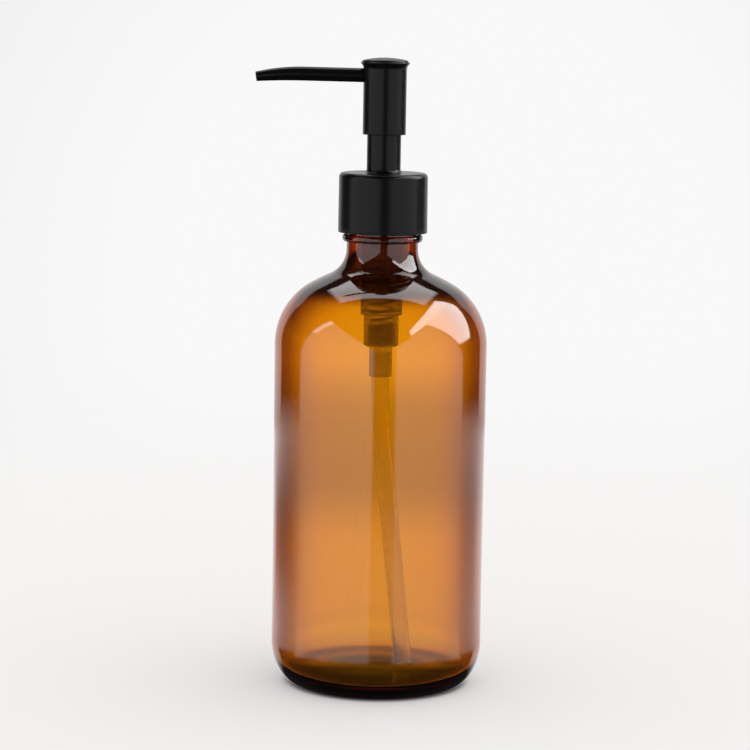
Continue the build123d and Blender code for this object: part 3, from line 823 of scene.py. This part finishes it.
# ---------------------------------------------------------------- dip tube
# Extruded natural polyethylene tube pushed up into the housing's tail. It keeps a slight
# set from its coil, and its lower end is cut hollow so that it can't seal on the glass.
tube_out, tube_wall, tube_top, tube_straight = 3.175, 0.925, tube_stop, tail_low
tube_bend, tube_set, tube_low, notch = 250.0, math.radians(6.2), 6.5, 0.8
bpy.ops.object.select_all(action="DESELECT")
bpy.ops.mesh.primitive_circle_add(
    vertices=48, radius=tube_out * MM, location=(0, 0, tube_top * MM)
)
bpy.ops.object.transform_apply(location=True)
bpy.ops.object.mode_set(mode="EDIT")
bpy.ops.mesh.select_all(action="SELECT")
bpy.ops.mesh.extrude_region_move(
    TRANSFORM_OT_translate={"value": (0, 0, (tube_straight - tube_top) * MM)}
)
x, z, lean = 0.0, tube_straight, 0.0
bend_steps, straight_steps, spare_end = 10, 12, 4.0
end_drop = tube_straight - tube_bend * math.sin(tube_set) - tube_low + spare_end
runs = [(tube_bend * tube_set / bend_steps, tube_set / bend_steps)] * bend_steps
runs += [(end_drop / math.cos(tube_set) / straight_steps, 0.0)] * straight_steps
for length, bend in runs:
    lean += bend / 2
    step = length * math.sin(lean), -length * math.cos(lean)
    x, z, lean = x + step[0], z + step[1], lean + bend / 2
    bpy.ops.mesh.extrude_region_move(
        TRANSFORM_OT_translate={"value": (step[0] * MM, 0, step[1] * MM)}
    )
    if bend:
        bpy.ops.transform.rotate(
            value=bend, orient_axis="Y", center_override=(x * MM, 0, z * MM)
        )
tube = close_up("dip_tube")
straight_middle = (tube_top + tube_straight) / 2
side_face = min(
    tube.data.polygons, key=lambda face: abs(face.center.z - straight_middle * MM)
)
outward = side_face.normal.x * side_face.center.x + side_face.normal.y * side_face.center.y
wall = tube.modifiers.new("wall", "SOLIDIFY")
wall.thickness = tube_wall * MM
wall.offset = -1 if outward > 0 else 1
bpy.ops.object.modifier_apply(modifier="wall")
# the cutter's side is the hollow of the fish mouth
mouth = (tube_out**2 + notch**2) / (2 * notch)
low_x = x - (tube_low - z) * math.tan(tube_set)
bpy.ops.object.select_all(action="DESELECT")
bpy.ops.mesh.primitive_cylinder_add(
    vertices=128,
    radius=mouth * MM,
    depth=20 * MM,
    location=(low_x * MM, 0, (tube_low + notch - mouth) * MM),
    rotation=(math.pi / 2, 0, 0),
)
combine(tube, bpy.context.active_object, "DIFFERENCE")

natural_polyethylene, shader = milky_plastic("natural_polyethylene_extruded", 0.20, "#FFFDF8")
shader.inputs["Transmission Weight"].default_value = 0.96
tube.data.materials.append(natural_polyethylene)
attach(tube, "pump_body")
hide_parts("dip_tube")

# ---------------------------------------------------------------- return spring
# Nine coils of stainless wire between the ball cage and the piston. It stands on the
# cage; in the pump it shortens as the head is pressed, but here it is built at one length.
wire, coil_radius, coils = 0.4, 4.1, 9
spring_low, spring_high = 128.18, 155.45
bpy.ops.object.select_all(action="DESELECT")
bpy.ops.mesh.primitive_circle_add(
    vertices=16,
    radius=wire * MM,
    location=(coil_radius * MM, 0, (spring_low + wire) * MM),
    rotation=(math.pi / 2, 0, 0),
)
bpy.ops.object.transform_apply(location=True, rotation=True)
spring = bpy.context.active_object
winding = spring.modifiers.new("winding", "SCREW")
winding.steps = 40
winding.render_steps = 40
winding.iterations = coils
winding.screw_offset = (spring_high - spring_low - 2 * wire) / coils * MM
bpy.ops.object.modifier_apply(modifier="winding")
bpy.ops.object.mode_set(mode="EDIT")
bpy.ops.mesh.select_all(action="SELECT")
bpy.ops.mesh.fill_holes(sides=0)
close_up("return_spring")
stainless, tree, shader = new_material("drawn_stainless_wire")
# drawing leaves fine lines along the wire, which blur the highlights a little
place = node(tree, "TexCoord").outputs["Object"]
line_size = 0.4
lines = node(tree, "TexNoise", {"Vector": place, "Scale": 1 / (line_size * MM), "Detail": 2.0})
rough = node(tree, "MapRange", {"Value": lines.outputs[0], "To Min": 0.2, "To Max": 0.34})
tree.links.new(rough.outputs["Result"], shader.inputs["Roughness"])
shader.inputs["Base Color"].default_value = colour("#C9C7C3")
shader.inputs["Metallic"].default_value = 1.0
spring.data.materials.append(stainless)
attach(spring, "pump_body")
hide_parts("return_spring")
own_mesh(spring)

# ---------------------------------------------------------------- cap, stem and valves
# The inner workings keep their machined shapes. Each gets the finish of its own stuff:
# black or white moulded plastic, soft foam, or polished steel for the balls.


def moulded(name, code, roughness, grain, depth):
    """Moulded or cast stock: one colour, broken up by the texture of its mould."""
    patchy = 0.05
    material, tree, shader = new_material(name)
    place = node(tree, "TexCoord").outputs["Object"]
    speck = node(tree, "TexNoise", {"Vector": place, "Scale": 1 / (grain * MM), "Detail": 3.0})
    rough = node(
        tree,
        "MapRange",
        {"Value": speck.outputs[0], "To Min": roughness - patchy, "To Max": roughness + patchy},
    )
    tree.links.new(rough.outputs["Result"], shader.inputs["Roughness"])
    bump = node(
        tree, "Bump", {"Strength": 0.5, "Distance": depth * MM, "Height": speck.outputs[0]}
    )
    tree.links.new(bump.outputs[0], shader.inputs["Normal"])
    shader.inputs["Base Color"].default_value = colour(code)
    return material, shader


black_plastic, shader = moulded("black_polypropylene_moulded", "#161617", 0.5, 0.8, 0.01)
white_plastic, shader = moulded("white_acetal_moulded", "#E4E2DC", 0.4, 1.0, 0.01)
shader.inputs["Subsurface Weight"].default_value = 0.1
foam, shader = moulded("white_foamed_polyethylene", "#DEDCD6", 0.7, 0.5, 0.03)
ball_steel, shader = moulded("polished_stainless_ball", "#D2D0CC", 0.12, 0.3, 0.001)
shader.inputs["Metallic"].default_value = 1.0
# which of the pieces kept from the frame gets which
finishes = {
    black_plastic: ("closure_cap", "actuator_insert"),
    white_plastic: ("chaplet", "ball_cage", "piston", "valve_core", "stem", "spout_liner"),
    foam: ("bottle_gasket", "stem_seal"),
    ball_steel: ("inlet_check_ball", "outlet_check_ball"),
}
for material, names in finishes.items():
    for name in names:
        for finish_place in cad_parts[name].material_slots:
            finish_place.material = material
